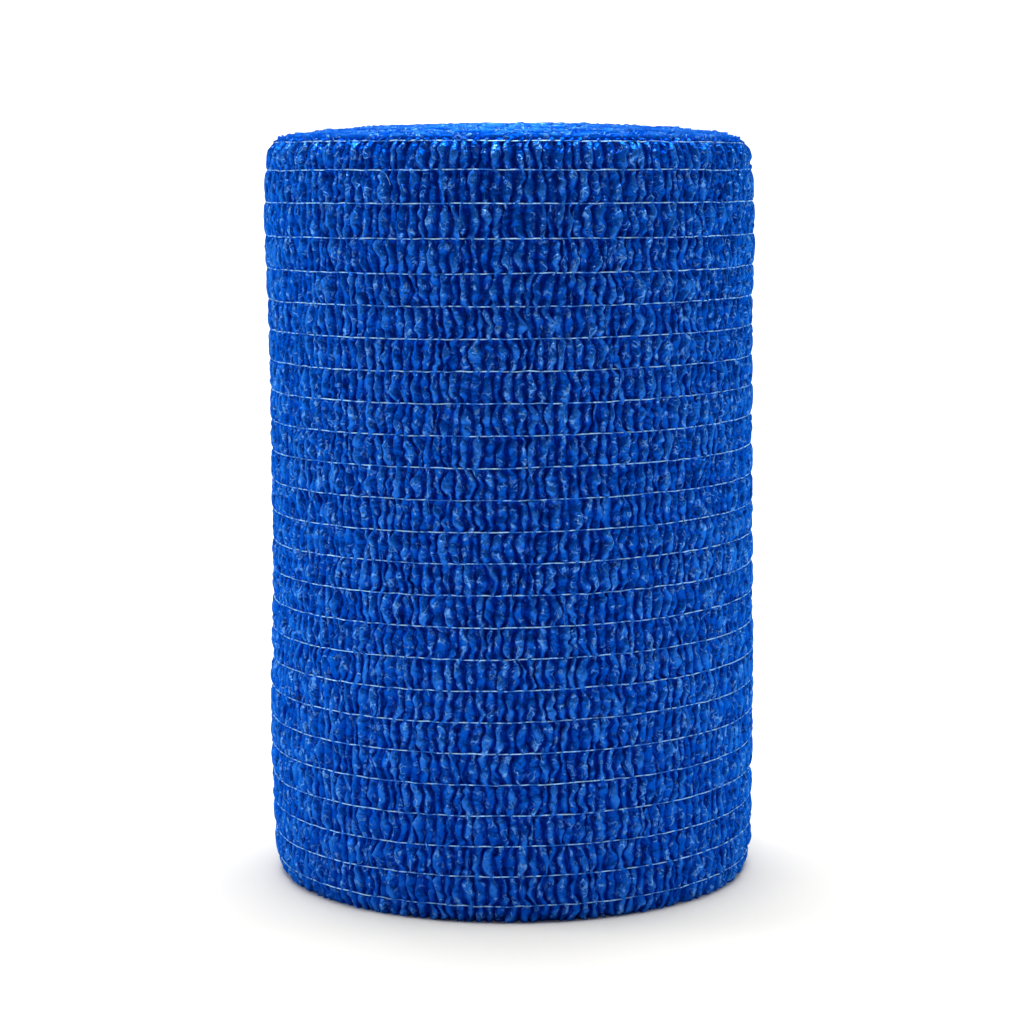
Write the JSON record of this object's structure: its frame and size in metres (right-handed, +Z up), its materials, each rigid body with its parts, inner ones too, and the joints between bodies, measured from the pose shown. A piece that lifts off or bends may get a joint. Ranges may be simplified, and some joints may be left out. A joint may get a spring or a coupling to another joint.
{
  "type": "sock tape roll",
  "caption": "Coreless roll of blue crinkled self-holding elastic tape standing on end, with pale elastic yarns round it, bands of gathered cloth between them and a slightly domed upper end",
  "frame": {"origin": "middle of the flat lower end that the roll stands on", "axes": "+Z up along the roll's axis, from the flat lower end to the domed upper end; -Y is the front, and the tape's outer end lies at the back, near +Y"},
  "size_m": [0.049, 0.0492, 0.0759],
  "materials": {
    "tape_cloth": "matte"
  },
  "bodies": {
    "root": {"roll": "tape_cloth"}
  },
  "joints": []
}
